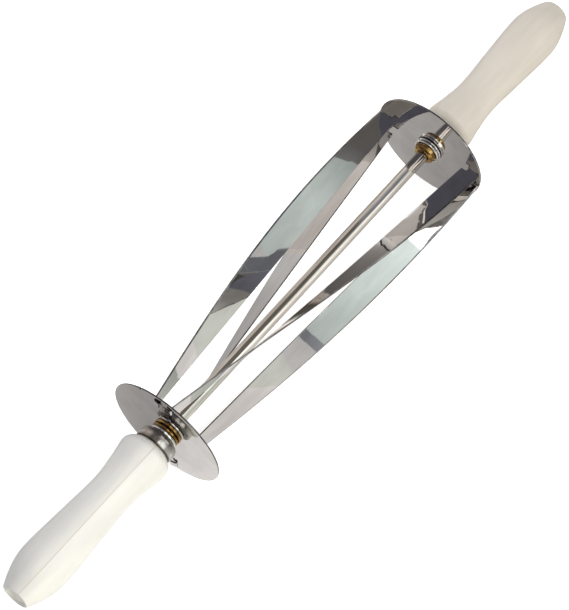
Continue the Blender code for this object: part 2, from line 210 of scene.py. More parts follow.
def rolledSteel(name, settings):
    # Stainless steel sheet or bar with lines along or round it; the settings give how it was finished
    material, tree, shader = newMaterial(name)
    stain = objectPattern(tree, settings["stainSize"], detail=3)
    tone = setRamp(
        addNode(tree, "ValToRGB", {"Fac": stain}), ((0.36, settings["dark"]), (0.60, settings["light"]))
    )
    if "shadeAndGrime" in settings:
        # painted shade, with some grime: darker within a millimetre of the handle, where the cup meets it
        place = addNode(tree, "SeparateXYZ", {"Vector": addNode(tree, "TexCoord").outputs["Object"]})
        out = addNode(tree, "Math", {0: place.outputs["X"]}, operation="ABSOLUTE")
        share = mapRange(
            tree, out.outputs[0], 0.0, settings["shadeAndGrimeShare"],
            settings["shadeAndGrimeFrom"] * mm, settings["shadeAndGrimeTo"] * mm,
        )
        mixed = addNode(tree, "Mix", {0: share, 6: tone, 7: linear(settings["shadeAndGrime"])}, data_type="RGBA")
        tone = mixed.outputs[2]
    tree.links.new(tone, shader.inputs["Base Color"])
    shader.inputs["Metallic"].default_value = 1.0
    lines = objectPattern(tree, settings["lineSize"], detail=3, roughness=0.6)
    tree.links.new(mapRange(tree, lines, *settings["roughness"]), shader.inputs["Roughness"])
    bumps = [(lines, settings["lineDepth"])]
    if "waveSize" in settings:
        bumps.insert(0, (objectPattern(tree, settings["waveSize"], detail=1), settings["waveDepth"]))
    addBumps(tree, shader, bumps)
    return material


# Mirror-polished stainless strip, hand bent: sharp reflections that waver a little, faint rolling lines
bladeFinish = {
    "light": "#C6C3C0", "dark": "#BEBBB8", "stainSize": (30, 8, 8),
    "lineSize": (40, 0.9, 0.9), "lineDepth": 0.0004, "roughness": (0.02, 0.05),
    "waveSize": (110, 45, 45), "waveDepth": 0.05,
}
# Ground on a wheel across the strip: short cross lines, duller and blurrier than the polished face
edgeFinish = {
    "light": "#989592", "dark": "#716E6B", "stainSize": (5, 5, 5),
    "lineSize": (0.5, 6, 6), "lineDepth": 0.002, "roughness": (0.12, 0.22),
}
# Sheared or blanked, not polished after: dull, with torn lines through the thickness, and coloured near black
shearFinish = {
    "light": "#5E5B59", "dark": "#3B3937", "stainSize": (3, 3, 3),
    "lineSize": (0.8, 0.8, 0.8), "lineDepth": 0.004, "roughness": (0.22, 0.36),
}
# Blanked and mirror-polished stainless sheet: flatter than the blades, with fine stains from washing
discFinish = {
    "light": "#C4C1BE", "dark": "#BCB9B6", "stainSize": (6, 11, 11),
    "lineSize": (2, 0.8, 22), "lineDepth": 0.0005, "roughness": (0.03, 0.07),
    "waveSize": (60, 60, 60), "waveDepth": 0.05,
}
# Drawn bright steel bar: lines along it, a shade softer than the mirror sheet
rodFinish = {
    "light": "#C8C2BA", "dark": "#B8B1A8", "stainSize": (25, 5, 5),
    "lineSize": (50, 0.5, 0.5), "lineDepth": 0.001, "roughness": (0.05, 0.10),
}
# Pressed steel cup, turned satin with the tool's rings round it, with dull patches where hands wore it
ferruleFinish = {
    "light": "#BDB8B2", "dark": "#8A847E", "stainSize": (5, 9, 9),
    "lineSize": (0.35, 9, 9), "lineDepth": 0.003, "roughness": (0.14, 0.26),
    # dark brown band next to the handle: painted shade, with some grime
    "shadeAndGrime": "#3A2C22", "shadeAndGrimeFrom": 140.9, "shadeAndGrimeTo": 141.9, "shadeAndGrimeShare": 0.9,
}
# Nickel-plated steel, barrel plated: bright and slightly yellow, soft at the corners
platedFinish = {
    "light": "#E4E2DF", "dark": "#D3D0CB", "stainSize": (4, 4, 4),
    "lineSize": (0.4, 5, 5), "lineDepth": 0.0015, "roughness": (0.08, 0.16),
}
# Free-cutting brass, turned: gold with rings from the tool, browner where it has tarnished
brassFinish = {
    "brown": "#77572B", "dull": "#9F7B42", "bright": "#C4A468", "tarnishSize": (2.2, 3.5, 3.5),
    "ringSize": (0.3, 8, 8), "ringDepth": 0.004, "roughness": (0.28, 0.12),
}


def turnedBrass(settings):
    material, tree, shader = newMaterial("turnedBrass")
    tarnish = objectPattern(tree, settings["tarnishSize"], detail=4)
    tone = setRamp(
        addNode(tree, "ValToRGB", {"Fac": tarnish}),
        ((0.36, settings["brown"]), (0.50, settings["dull"]), (0.66, settings["bright"])),
    )
    tree.links.new(tone, shader.inputs["Base Color"])
    shader.inputs["Metallic"].default_value = 1.0
    rings = objectPattern(tree, settings["ringSize"], detail=2)
    tree.links.new(mapRange(tree, tarnish, *settings["roughness"]), shader.inputs["Roughness"])
    addBumps(tree, shader, ((rings, settings["ringDepth"]),))
    return material


materials = {
    "leftHandle": mouldedPolypropylene("left"),
    # the right handle's colours hold painted shade
    "rightHandle": mouldedPolypropylene("right"),
    "plug": mouldedPolyethylene(plugSkin),
    "blade": rolledSteel("mirrorPolishedStrip", bladeFinish),
    "bladeEdge": rolledSteel("groundBladeEdge", edgeFinish),
    "sheared": rolledSteel("shearedSteelEdge", shearFinish),
    "disc": rolledSteel("mirrorPolishedSheet", discFinish),
    "rod": rolledSteel("drawnBrightBar", rodFinish),
    "ferrule": rolledSteel("satinTurnedSteel", ferruleFinish),
    "plated": rolledSteel("nickelPlatedSteel", platedFinish),
    "brass": turnedBrass(brassFinish),
}
print("materials:", len(materials))


def finishPiece(name, bm, materialNames, body, replaced, smoothAngle=30):
    # makes a mesh of the form and dresses it
    mesh = bpy.data.meshes.new(name)
    bm.to_mesh(mesh)
    bm.free()
    dressPiece(name, mesh, materialNames, body, replaced, smoothAngle)


def dressPiece(name, mesh, materialNames, body, replaced, smoothAngle=30):
    # smooth but for edges that turn by more than this angle; rides on the CAD body in its nodes' place
    mesh.shade_smooth()
    mesh.set_sharp_from_angle(angle=math.radians(smoothAngle))
    numbers = [face.material_index for face in mesh.polygons]
    mesh.materials.clear()
    for key in materialNames:
        mesh.materials.append(materials[key])
    mesh.polygons.foreach_set("material_index", numbers)
    piece = bpy.data.objects.new(name, mesh)
    scene.collection.objects.link(piece)
    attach(piece, body)
    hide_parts(*replaced)


def turnedForm(outline, sides, end, corner=0.0, segments=3, closed=True, sharp=35):
    # spins an outline of (place along the rod, radius) in mm, then rounds its sharp corners
    bm = bmesh.new()
    points = [bm.verts.new((end * along * mm, 0, radius * mm)) for along, radius in outline]
    pairs = list(zip(points, points[1:]))
    if closed:
        pairs.append((points[-1], points[0]))
    edges = [bm.edges.new(pair) for pair in pairs]
    bmesh.ops.spin(
        bm, geom=points + edges, cent=(0, 0, 0), axis=(1, 0, 0), dvec=(0, 0, 0),
        angle=math.tau, steps=sides, use_merge=True, use_duplicate=False,
    )
    bmesh.ops.remove_doubles(bm, verts=bm.verts, dist=0.002 * mm)
    bmesh.ops.recalc_face_normals(bm, faces=bm.faces)
    if corner:
        roundCorners(bm, corner, segments, sharp)
    return bm


def roundCorners(bm, corner, segments, sharp):
    # bevels every edge that turns by more than this angle
    limit = math.radians(sharp)
    found = [edge for edge in bm.edges if len(edge.link_faces) == 2 and edge.calc_face_angle() > limit]
    bmesh.ops.bevel(
        bm, geom=found, offset=corner * mm, offset_type="OFFSET", affect="EDGES", segments=segments,
        profile=0.5, material=-1, clamp_overlap=True,
    )


def addBlock(bm, size, middle, turn):
    # a block of this size in mm about a middle in mm, then turned
    matrix = turn @ Matrix.Translation(Vector(middle) * mm) @ Matrix.Diagonal((*(Vector(size) * mm), 1))
    bmesh.ops.create_cube(bm, size=1, matrix=matrix)


def cutWith(bm, cutter):
    # takes the cutter's blocks out of a form and returns the mesh
    pair = []
    for form in (bm, cutter):
        mesh = bpy.data.meshes.new("form")
        form.to_mesh(mesh)
        form.free()
        obj = bpy.data.objects.new("form", mesh)
        scene.collection.objects.link(obj)
        pair.append(obj)
    boolean = pair[0].modifiers.new("cut", "BOOLEAN")
    boolean.operation = "DIFFERENCE"
    boolean.solver = "EXACT"
    boolean.object = pair[1]
    return appliedMesh(pair[0], pair[1])


def appliedMesh(*objects):
    # the first object's mesh with its modifiers applied; all the objects are removed
    bpy.context.view_layer.update()
    graph = bpy.context.evaluated_depsgraph_get()
    mesh = bpy.data.meshes.new_from_object(objects[0].evaluated_get(graph))
    for obj in objects:
        bpy.data.objects.remove(obj, do_unlink=True)
    return mesh


def curveThrough(points, steps):
    # points on a smooth curve through the given ones, level with the line between each one's neighbours
    places = [Vector(point) for point in points]
    found = []
    for i in range(len(places) - 1):
        start, finish = places[i], places[i + 1]
        before = places[i - 1] if i else start
        after = places[i + 2] if i + 2 < len(places) else finish
        for step in range(steps):
            t = step / steps
            found.append(
                start * (2 * t**3 - 3 * t**2 + 1) + (finish - before) / 2 * (t**3 - 2 * t**2 + t)
                + finish * (3 * t**2 - 2 * t**3) + (after - start) / 2 * (t**3 - t**2)
            )
    found.append(places[-1])
    return [tuple(place) for place in found]


ends = (("left", -1), ("right", 1))

rodSettings = {"radius": 4.0, "end": 253.7, "corner": 0.7, "sides": 72}


def makeRod(settings):
    radius, end = settings["radius"], settings["end"]
    outline = ((end, 0), (end, radius), (-end, radius), (-end, 0))
    bm = turnedForm(outline, settings["sides"], 1, settings["corner"], closed=False)
    finishPiece("drawnRod", bm, ["rod"], "handles", ["axle_rod"])


makeRod(rodSettings)

# Outline as (distance from the disc's middle, radius)
handleSettings = {
    "outline": (
        (14.3, 12.5), (17.0, 15.4), (21.5, 16.9), (33.0, 15.0), (50.0, 13.4),
        (76.0, 14.8), (104.0, 16.4), (116.0, 15.8), (127.0, 12.6), (134.6, 9.2),
    ),
    "steps": 8, "sides": 144, "discMiddle": 128.5,
    "spigotRadius": 11.3, "spigotLength": 3.7, "bore": 4.3,
    "recessRadius": 8.0, "recessDepth": 20.0, "corner": 0.45, "smoothAngle": 40,
    # the mould's parting line stands out on the skin, which lies past this radius, but for the grip's ends
    "ridgeHeight": 0.1, "skinRadius": 9.266, "plainEnd": 1.0,
}


def makeHandle(settings, side, end):
    middle, plainEnd = settings["discMiddle"], settings["plainEnd"]
    places = [(middle + along, radius) for along, radius in settings["outline"]]
    grip = curveThrough(places, settings["steps"])
    front, back = grip[0][0], grip[-1][0]
    spigotEnd = front - settings["spigotLength"]
    floor = back - settings["recessDepth"]
    outline = [
        *reversed(grip),
        (front, settings["spigotRadius"]),
        (spigotEnd, settings["spigotRadius"]),
        (spigotEnd, settings["bore"]),
        (floor, settings["bore"]),
        (floor, settings["recessRadius"]),
        (back, settings["recessRadius"]),
    ]
    bm = turnedForm(outline, settings["sides"], end, settings["corner"])
    # one line of points on each side stands out a little, where the mould's halves met
    halfSide = math.pi / settings["sides"]
    ridge = math.radians(seamAngle)
    for vert in bm.verts:
        radius = math.hypot(vert.co.y, vert.co.z) / mm
        along = abs(vert.co.x) / mm
        if radius < settings["skinRadius"] or not front + plainEnd < along < back - plainEnd:
            continue
        angle = (math.atan2(vert.co.y, vert.co.z) - ridge) % math.pi
        if min(angle, math.pi - angle) < halfSide:
            grow = 1 + settings["ridgeHeight"] / radius
            vert.co.y *= grow
            vert.co.z *= grow
    finishPiece(
        f"{side}Grip", bm, [f"{side}Handle"], "handles", [f"{side}_handle"],
        settings["smoothAngle"],
    )


# A plug with a raised rim, a dished face and the mark of the mould's gate at its middle
plugSettings = {
    "radius": 7.7, "top": 262.7, "bottom": 256.7, "rim": 1.2, "dish": 0.7, "rimSlope": 0.5,
    "gate": 1.1, "gateHeight": 0.25, "gateSlope": 0.2, "corner": 0.2, "sides": 96,
}


def makePlug(settings, side, end):
    top, radius, gate = settings["top"], settings["radius"], settings["gate"]
    inRim = radius - settings["rim"]
    floor = top - settings["dish"]
    outline = (
        (floor + settings["gateHeight"], 0), (floor + settings["gateHeight"], gate),
        (floor, gate + settings["gateSlope"]), (floor, inRim - settings["rimSlope"]), (top, inRim),
        (top, radius), (settings["bottom"], radius), (settings["bottom"], 0),
    )
    bm = turnedForm(outline, settings["sides"], end, settings["corner"], closed=False)
    finishPiece(f"{side}Plug", bm, ["plug"], "handles", [f"{side}_end_plug"])


for side, end in ends:
    makeHandle(handleSettings, side, end)
    makePlug(plugSettings, side, end)
print("rod, handles and plugs made")

ferruleSettings = {
    "bottom": 133.6, "length": 8.8, "radius": 12.7, "neck": 9.7, "shoulder": 3.0, "wall": 1.0,
    "bore": 4.3, "steps": 10, "sides": 128, "corner": 0.22,
}


def makeFerrule(settings, side, end):
    bottom, radius, neck = settings["bottom"], settings["radius"], settings["neck"]
    top, wall, shoulder = bottom + settings["length"], settings["wall"], settings["shoulder"]
    drop = radius - neck
    outline = [(top, radius - wall), (top, radius)]
    for step in range(settings["steps"] + 1):
        angle = math.pi / 2 * step / settings["steps"]
        outline.append((bottom + shoulder * (1 - math.sin(angle)), neck + drop * math.cos(angle)))
    outline += [
        (bottom, settings["bore"]), (bottom + wall, settings["bore"]), (bottom + wall, neck - wall),
        (bottom + shoulder - wall / 2, radius - 1.5 * wall), (bottom + shoulder + wall / 2, radius - wall),
    ]
    bm = turnedForm(outline, settings["sides"], end, settings["corner"], sharp=50)
    finishPiece(f"{side}Cup", bm, ["ferrule"], "handles", [f"{side}_ferrule"])


# Rings as (bottom, top, outer radius, inner radius, corner)
ringSettings = {
    "thrust_washer": {"size": (131.0, 133.3, 9.6, 4.3, 0.95), "body": "handles", "sides": 112},
    "lock_washer": {"size": (126.6, 127.6, 9.4, 7.6, 0.48), "body": "cage", "sides": 112},
}


def makeRing(node, settings, side, end):
    bottom, top, outer, inner, corner = settings["size"]
    outline = ((top, inner), (top, outer), (bottom, outer), (bottom, inner))
    bm = turnedForm(outline, settings["sides"], end, corner, segments=6)
    name = side + node.title().replace("_", "")
    finishPiece(name, bm, ["plated"], settings["body"], [f"{side}_{node}"])


bushSettings = {
    "flangeTop": 130.7, "flangeBottom": 129.4, "flangeRadius": 9.5, "radius": 7.3, "end": 121.0,
    "chamfer": 1.2, "bore": 4.3, "corner": 0.22, "sides": 112,
}


def makeBush(settings, side, end):
    radius, last = settings["radius"], settings["end"]
    outline = [
        (settings["flangeTop"], settings["bore"]),
        (settings["flangeTop"], settings["flangeRadius"]),
        (settings["flangeBottom"], settings["flangeRadius"]),
        (settings["flangeBottom"], radius),
        (last + settings["chamfer"], radius),
        (last, radius - settings["chamfer"]),
        (last, settings["bore"]),
    ]
    bm = turnedForm(outline, settings["sides"], end, settings["corner"])
    finishPiece(f"{side}Bush", bm, ["brass"], "cage", [f"{side}_bush"])


ringNutSettings = {
    "bottom": 124.7, "top": 126.3, "radius": 9.0, "bore": 8.0, "countersink": 0.3, "corner": 0.45,
    "sides": 112, "slotWidth": 3.0, "slotDepth": 0.7, "cutHeight": 2.0,
}


def makeRingNut(settings, side, end):
    bottom, top, radius = settings["bottom"], settings["top"], settings["radius"]
    bore, sink = settings["bore"], settings["countersink"]
    outline = ((top, bore), (top, radius), (bottom, radius), (bottom, bore + sink), (bottom + sink, bore))
    bm = turnedForm(outline, settings["sides"], end, settings["corner"], sharp=60)
    slots = bmesh.new()
    size = (2 * (top - bottom), settings["slotWidth"], settings["cutHeight"])
    middle = (end * (top + bottom) / 2, 0, radius - settings["slotDepth"] + settings["cutHeight"] / 2)
    for quarter in range(4):
        addBlock(slots, size, middle, Matrix.Rotation(math.pi / 2 * (quarter + 0.5), 4, "X"))
    mesh = cutWith(bm, slots)
    dressPiece(f"{side}RingNut", mesh, ["plated"], "cage", [f"{side}_ring_nut"])


for side, end in ends:
    makeFerrule(ferruleSettings, side, end)
    for node, settings in ringSettings.items():
        makeRing(node, settings, side, end)
    makeBush(bushSettings, side, end)
    makeRingNut(ringNutSettings, side, end)
print("ferrules, washers, bushes and ring nuts made")

discSettings = {
    "inner": 127.9, "outer": 129.1, "radius": 39.94, "bore": 7.6, "corner": 0.35, "sides": 256,
    "halfGap": 6.1, "slotHeight": 34.4, "slotWidth": 1.3, "slotLength": 4.9, "cutDepth": 6,
    "nickAngle": {"left": 26.5, "right": 200.0}, "nickDepth": 0.9, "nickWidth": 1.0, "nickHeight": 1.4,
    # faces that turn outwards within this band of the edge show the blanked steel
    "rimBand": 1.2, "rimTilt": 0.4, "smoothAngle": 20,
}


def aboutRod(degrees):
    # turns about the rod from the top towards +Y
    return Matrix.Rotation(-math.radians(degrees), 4, "X")


def makeDisc(settings, side, end):
    inner, outer, radius = settings["inner"], settings["outer"], settings["radius"]
    outline = ((outer, settings["bore"]), (outer, radius), (inner, radius), (inner, settings["bore"]))
    bm = turnedForm(outline, settings["sides"], end, settings["corner"], segments=4)
    slots = bmesh.new()
    size = (settings["cutDepth"], settings["slotWidth"], settings["slotLength"])
    firstCorner = 0 if end < 0 else 90
    for corner in (firstCorner, firstCorner + 180):
        for shift in (-settings["halfGap"], settings["halfGap"]):
            middle = (end * (inner + outer) / 2, shift, settings["slotHeight"])
            addBlock(slots, size, middle, aboutRod(corner))
    # a nick from the blanking tool in the rim
    size = (settings["cutDepth"], settings["nickWidth"], settings["nickHeight"])
    height = radius + settings["nickHeight"] / 2 - settings["nickDepth"]
    addBlock(slots, size, (end * (inner + outer) / 2, 0, height), aboutRod(settings["nickAngle"][side]))
    mesh = cutWith(bm, slots)
    rim = (radius - settings["rimBand"]) * mm
    for face in mesh.polygons:
        if abs(face.normal.x) < settings["rimTilt"] and face.center.yz.length > rim:
            face.material_index = 1
    dressPiece(
        f"{side}EndDisc", mesh, ["disc", "sheared"], "cage", [f"{side}_disc"],
        settings["smoothAngle"],
    )


for side, end in ends:
    makeDisc(discSettings, side, end)
print("discs made")

bladeSettings = {
    "reach": 127.6, "halfGap": 6.1, "backHeight": 27.0, "radius": 39.94, "bulge": 1.75, "thickness": 1.0,
    "grind": 1.0, "edgeShare": 0.3, "notchWidth": 3.6, "notchDepth": 2.2, "steps": 110,
    "tabHeight": 34.4, "tabWidth": 4.6, "foldLevel": 129.9, "foldRadius": 1.0, "foldLength": 2.8,
    "foldOpen": 9, "foldSteps": 8, "corner": 0.12, "cornerSegments": 2, "cornerAngle": 45,
    "smoothAngle": 12,  # less than the ground edge turns, so that its line stays crisp
}
# Bent by hand: name, CAD node, hand, corner about the rod, middle set outwards in mm, lean in degrees
bladeRows = (
    ("backTopBlade", "blade_1", 1, 0, 0, 0),
    ("frontTopBlade", "blade_2", -1, 0, 0.9, 4),
    ("frontLowBlade", "blade_3", 1, 180, -1.4, 0),
    ("backLowBlade", "blade_4", -1, 180, 0, 0),
)


def crossLine(settings, along, shares, setOut, lean):
    # points across the strip at this place, from its back to its edge, as (Y, Z) in mm
    share = (along + settings["reach"]) / (2 * settings["reach"])
    swell = math.sin(math.pi * share)
    start = Vector((settings["halfGap"], settings["backHeight"]))
    back = start.lerp(start.yx, share)
    back += back.normalized() * setOut * swell
    firstAngle = math.asin(settings["halfGap"] / settings["radius"])
    angle = firstAngle + (math.pi / 2 - 2 * firstAngle) * share
    edge = Vector((math.sin(angle), math.cos(angle)))
    edge *= settings["radius"] + (settings["bulge"] + setOut) * swell
    back = edge + Matrix.Rotation(math.radians(lean) * swell, 2) @ (back - edge)
    grind = edge + (back - edge).normalized() * settings["grind"]
    return [back.lerp(grind, part) for part in shares] + [edge]


def foldTab(settings, bm, verts, end, towards):
    # draws the edge between two points out through the disc and folds it down on the outer face
    level, radius, steps = settings["foldLevel"], settings["foldRadius"], settings["foldSteps"]
    path = []
    for step in range(steps + 1):
        bend = math.pi / 2 * step / steps
        path.append((level - radius * (1 - math.sin(bend)), radius * (1 - math.cos(bend))))
    opened = Vector((settings["foldLength"], 0))
    opened.rotate(Matrix.Rotation(math.radians(settings["foldOpen"]), 2))
    path.append((level + opened.y, radius + opened.x))
    edge = bm.edges.get(verts)
    last = 0
    for height, shift in path:
        made = bmesh.ops.extrude_edge_only(bm, edges=[edge])["geom"]
        edge = next(item for item in made if isinstance(item, bmesh.types.BMEdge))
        for vert in edge.verts:
            vert.co.x = end * height * mm
            vert.co += towards * (shift - last) * mm
        last = shift


def makeBlade(settings, name, node, hand, corner, setOut, lean):
    reach, backHeight = settings["reach"], settings["backHeight"]
    grindHeight = math.sqrt(settings["radius"] ** 2 - settings["halfGap"] ** 2) - settings["grind"]
    tabLow = settings["tabHeight"] - settings["tabWidth"] / 2
    heights = (
        backHeight, backHeight + settings["notchWidth"], tabLow, tabLow + settings["tabWidth"], grindHeight,
    )
    shares = [(height - backHeight) / (grindHeight - backHeight) for height in heights]
    inside, steps = reach - settings["notchDepth"], settings["steps"]
    lengths = [-reach, *[inside * (2 * i / steps - 1) for i in range(steps + 1)], reach]
    last, columns = len(lengths) - 1, len(heights)
    bm = bmesh.new()
    bmesh.ops.create_grid(bm, x_segments=last, y_segments=columns, size=1)
    grid = {}
    for vert in bm.verts:
        grid[round((vert.co.x + 1) / 2 * last), round((vert.co.y + 1) / 2 * columns)] = vert
    lines = [crossLine(settings, along, shares, setOut, lean) for along in lengths]
    for (row, column), vert in grid.items():
        side, height = lines[row][column]
        vert.co = Vector((lengths[row], hand * side, height)) * mm
    groundLine = {grid[row, columns] for row in range(last + 1)}
    for face in bm.faces:
        if groundLine & set(face.verts):
            face.material_index = 1
    foldTab(settings, bm, (grid[0, 2], grid[0, 3]), -1, Vector((0, -hand, 0)))
    foldTab(settings, bm, (grid[last, 2], grid[last, 3]), 1, Vector((0, 0, -1)))
    notches = []
    for row in (0, last - 1):
        cell = {grid[row + i, j] for i in (0, 1) for j in (0, 1)}
        notches += [face for face in bm.faces if set(face.verts) == cell]
    bmesh.ops.delete(bm, geom=notches, context="FACES")
    bmesh.ops.recalc_face_normals(bm, faces=bm.faces)
    bmesh.ops.transform(bm, matrix=aboutRod(corner), verts=bm.verts)
    bm.verts.index_update()
    ground = {vert.index for vert in groundLine}
    mesh = bpy.data.meshes.new("strip")
    bm.to_mesh(mesh)
    bm.free()
    finishes = ["blade", "bladeEdge", "sheared"]
    for key in finishes:
        mesh.materials.append(materials[key])
    strip = bpy.data.objects.new("strip", mesh)
    scene.collection.objects.link(strip)
    full = strip.vertex_groups.new(name="full")
    full.add([i for i in range(len(mesh.vertices)) if i not in ground], 1, "REPLACE")
    sheet = strip.modifiers.new("sheet", "SOLIDIFY")
    sheet.thickness = settings["thickness"] * mm
    sheet.offset = 0
    sheet.use_even_offset = True
    sheet.vertex_group = full.name
    sheet.thickness_vertex_group = settings["edgeShare"]
    sheet.material_offset_rim = finishes.index("sheared")
    bevel = strip.modifiers.new("corners", "BEVEL")
    bevel.width = settings["corner"] * mm
    bevel.segments = settings["cornerSegments"]
    bevel.limit_method = "ANGLE"
    bevel.angle_limit = math.radians(settings["cornerAngle"])
    mesh = appliedMesh(strip)
    dressPiece(name, mesh, finishes, "cage", [node], settings["smoothAngle"])


for row in bladeRows:
    makeBlade(bladeSettings, *row)
print("blades made")

# The nuts and washers inside the handles stay the CAD's own
for name in ("end_washer", "end_nut", "stop_nut"):
    for side in ("left", "right"):
        node = nodes[f"{side}_{name}"]
        node.data.materials.clear()
        node.data.materials.append(materials["plated"])
print("CAD nodes dressed")

floorLevel = cadBox[0].z
# Matt card, its half size in metres, lifted to near white for the camera, so that a faint shadow stays
floorSettings = {"halfSize": 9, "colour": "#E8E8E8", "roughness": 0.9, "lift": 0.70}


def whiteBackground(name, settings):
    # a plain lit floor to everything but the camera, mirrors and glass
    material, tree, shader = newMaterial(name)
    shader.inputs["Base Color"].default_value = linear(settings["colour"])
    shader.inputs["Roughness"].default_value = settings["roughness"]
    seen = backgroundRays(tree)
    lift = addNode(tree, "Math", {0: seen, 1: settings["lift"]}, operation="MULTIPLY")
    glow = addNode(tree, "Emission", {"Color": (1, 1, 1, 1), "Strength": lift.outputs[0]})
    both = addNode(tree, "AddShader", {0: shader.outputs["BSDF"], 1: glow.outputs["Emission"]})
    output = next(item for item in tree.nodes if item.bl_idname == "ShaderNodeOutputMaterial")
    tree.links.new(both.outputs[0], output.inputs["Surface"])
    return material


def backgroundRays(tree):
    # 1 for rays from the camera, a mirror or glass, otherwise 0
    path = addNode(tree, "LightPath")
    total = path.outputs["Is Camera Ray"]
    for name in ("Is Glossy Ray", "Is Transmission Ray"):
        total = addNode(tree, "Math", {0: total, 1: path.outputs[name]}, operation="MAXIMUM").outputs[0]
    return total


floorForm = bmesh.new()
bmesh.ops.create_grid(
    floorForm, x_segments=1, y_segments=1, size=floorSettings["halfSize"],
    matrix=Matrix.Translation((0, 0, floorLevel)),
)
floorMesh = bpy.data.meshes.new("paleFloor")
floorForm.to_mesh(floorMesh)
floorForm.free()
floorMesh.materials.append(whiteBackground("matWhiteFloor", floorSettings))
floor = bpy.data.objects.new("paleFloor", floorMesh)
scene.collection.objects.link(floor)

world = bpy.data.worlds.new("softStudio")
world.use_nodes = True
scene.world = world
worldTree = world.node_tree
worldTree.nodes.clear()
worldStrength = {"lighting": 0.33, "background": 1.0}
seen = backgroundRays(worldTree)
strength = addNode(
    worldTree, "Mix", {0: seen, 2: worldStrength["lighting"], 3: worldStrength["background"]},
    data_type="FLOAT",
)
sky = addNode(worldTree, "Background", {"Color": (1, 1, 1, 1), "Strength": strength.outputs[0]})
addNode(worldTree, "OutputWorld", {"Surface": sky.outputs["Background"]})


def direction(azimuth, elevation):
    # azimuth 0 is -Y, in front, and 90 is +X
    a, e = math.radians(azimuth), math.radians(elevation)
    return Vector((math.sin(a) * math.cos(e), -math.cos(a) * math.cos(e), math.sin(e)))


# Soft boxes: azimuth, elevation, distance and size in metres, power in watts
lampSettings = {
    "keySoftBox": {"azimuth": 5, "elevation": 52, "distance": 1.6, "size": 0.8, "power": 10.5,
                   "colour": "#FFFDF8"},
    "fillSoftBox": {"azimuth": 160, "elevation": 48, "distance": 1.8, "size": 0.9, "power": 5.0,
                    "colour": "#F1F4FF"},
    "rightSoftBox": {"azimuth": 143.8, "elevation": 38.9, "distance": 0.414, "size": 0.2, "power": 0.44,
                     "colour": "#FFFDF8"},
    "frontSoftBox": {"azimuth": -26, "elevation": 13, "distance": 1.15, "size": 0.6, "power": 4.4,
                     "colour": "#FFF8E4"},
}
for name, settings in lampSettings.items():
    light = bpy.data.lights.new(name, "AREA")
    light.energy = settings["power"]
    light.size = settings["size"]
    light.color = linear(settings["colour"])[:3]
    lamp = bpy.data.objects.new(name, light)
    back = direction(settings["azimuth"], settings["elevation"])
    lamp.location = back * settings["distance"]
    lamp.rotation_mode = "QUATERNION"
    lamp.rotation_quaternion = back.to_track_quat("Z", "Y")
    lamp.visible_glossy = False  # the cards below are what the steel reflects
    lamp.visible_camera = False
    scene.collection.objects.link(lamp)

# What the steel reflects. Each card has four corners, from the low left one round, and a tone at each.
cardSteps = (60, 12)  # along and up each card, so that its tones change evenly
cardTints = {
    "plain": (1.0, 1.0, 1.0), "warm": (1.06, 1.0, 0.95), "ivory": (0.985, 1.025, 0.96),
    "rose": (1.02, 0.995, 0.985), "green": (0.925, 1.045, 1.03), "blue": (0.95, 1.0, 1.12),
    "night": (0.93, 0.96, 1.22),
}
